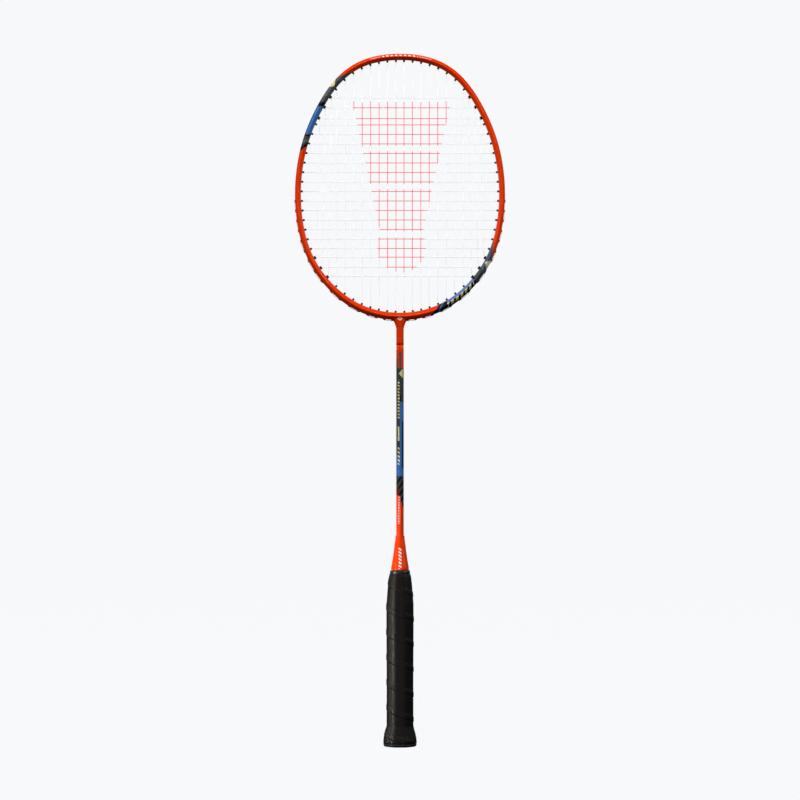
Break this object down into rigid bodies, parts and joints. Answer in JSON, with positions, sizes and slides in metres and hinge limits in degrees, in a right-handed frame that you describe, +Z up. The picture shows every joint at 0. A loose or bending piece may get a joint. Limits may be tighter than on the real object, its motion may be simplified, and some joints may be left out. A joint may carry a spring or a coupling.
{
  "type": "badminton racket",
  "caption": "Strung badminton racket: oval hollow frame with grommets, slim shaft, cone, and an octagonal handle with a wrapped grip.",
  "frame": {"origin": "middle of the flat end of the butt cap, on the shaft's axis", "axes": "+Z up the shaft to the tip of the head, +X to the right seen from the front, +Y away from the viewer, square to the string bed"},
  "size_m": [0.2076, 0.028, 0.6749],
  "materials": {
    "frame_paint": "gloss orange lacquer over carbon fibre",
    "carbon": "bare moulded carbon fibre, satin",
    "shaft_paint": "gloss charcoal lacquer over carbon fibre",
    "cone_paint": "gloss orange moulded plastic",
    "handle_wood": "sanded pale wood",
    "grip": "matte black synthetic leather",
    "tape": "satin black vinyl tape",
    "staple": "drawn steel wire",
    "butt_cap": "satin black moulded plastic",
    "badge": "gloss orange printed disc, no mark",
    "string": "white coated multifilament nylon",
    "grommet": "black moulded nylon"
  },
  "bodies": {
    "root": {"frame": "frame_paint", "t_joint": "carbon", "shaft": "shaft_paint", "cone_cap": "cone_paint", "handle_core": "handle_wood", "grip_tape": "grip", "finishing_tape": "tape", "grip_staple": "staple", "butt_cap": "butt_cap", "butt_badge": "badge", "main_string": "string", "cross_string": "string", "strip_top_inner_left": "grommet", "strip_top_outer_left": "grommet", "strip_corner_left": "grommet", "strip_side_upper_left": "grommet", "strip_side_lower_left": "grommet", "grommet_row_12_left": "grommet", "grommet_row_13_left": "grommet", "grommet_row_14_left": "grommet", "grommet_row_15_left": "grommet", "grommet_row_16_left": "grommet", "grommet_row_17_left": "grommet", "grommet_row_18_left": "grommet", "grommet_row_19_left": "grommet", "grommet_row_20_left": "grommet", "grommet_main_1_left": "grommet", "grommet_main_2_left": "grommet", "grommet_main_3_left": "grommet", "grommet_main_4_left": "grommet", "grommet_main_5_left": "grommet", "grommet_main_6_left": "grommet", "grommet_main_7_left": "grommet", "grommet_main_8_left": "grommet", "strip_top_inner_right": "grommet", "strip_top_outer_right": "grommet", "strip_corner_right": "grommet", "strip_side_upper_right": "grommet", "strip_side_lower_right": "grommet", "grommet_row_12_right": "grommet", "grommet_row_13_right": "grommet", "grommet_row_14_right": "grommet", "grommet_row_15_right": "grommet", "grommet_row_16_right": "grommet", "grommet_row_17_right": "grommet", "grommet_row_18_right": "grommet", "grommet_row_19_right": "grommet", "grommet_row_20_right": "grommet", "grommet_main_1_right": "grommet", "grommet_main_2_right": "grommet", "grommet_main_3_right": "grommet", "grommet_main_4_right": "grommet", "grommet_main_5_right": "grommet", "grommet_main_6_right": "grommet", "grommet_main_7_right": "grommet", "grommet_main_8_right": "grommet"}
  },
  "joints": []
}
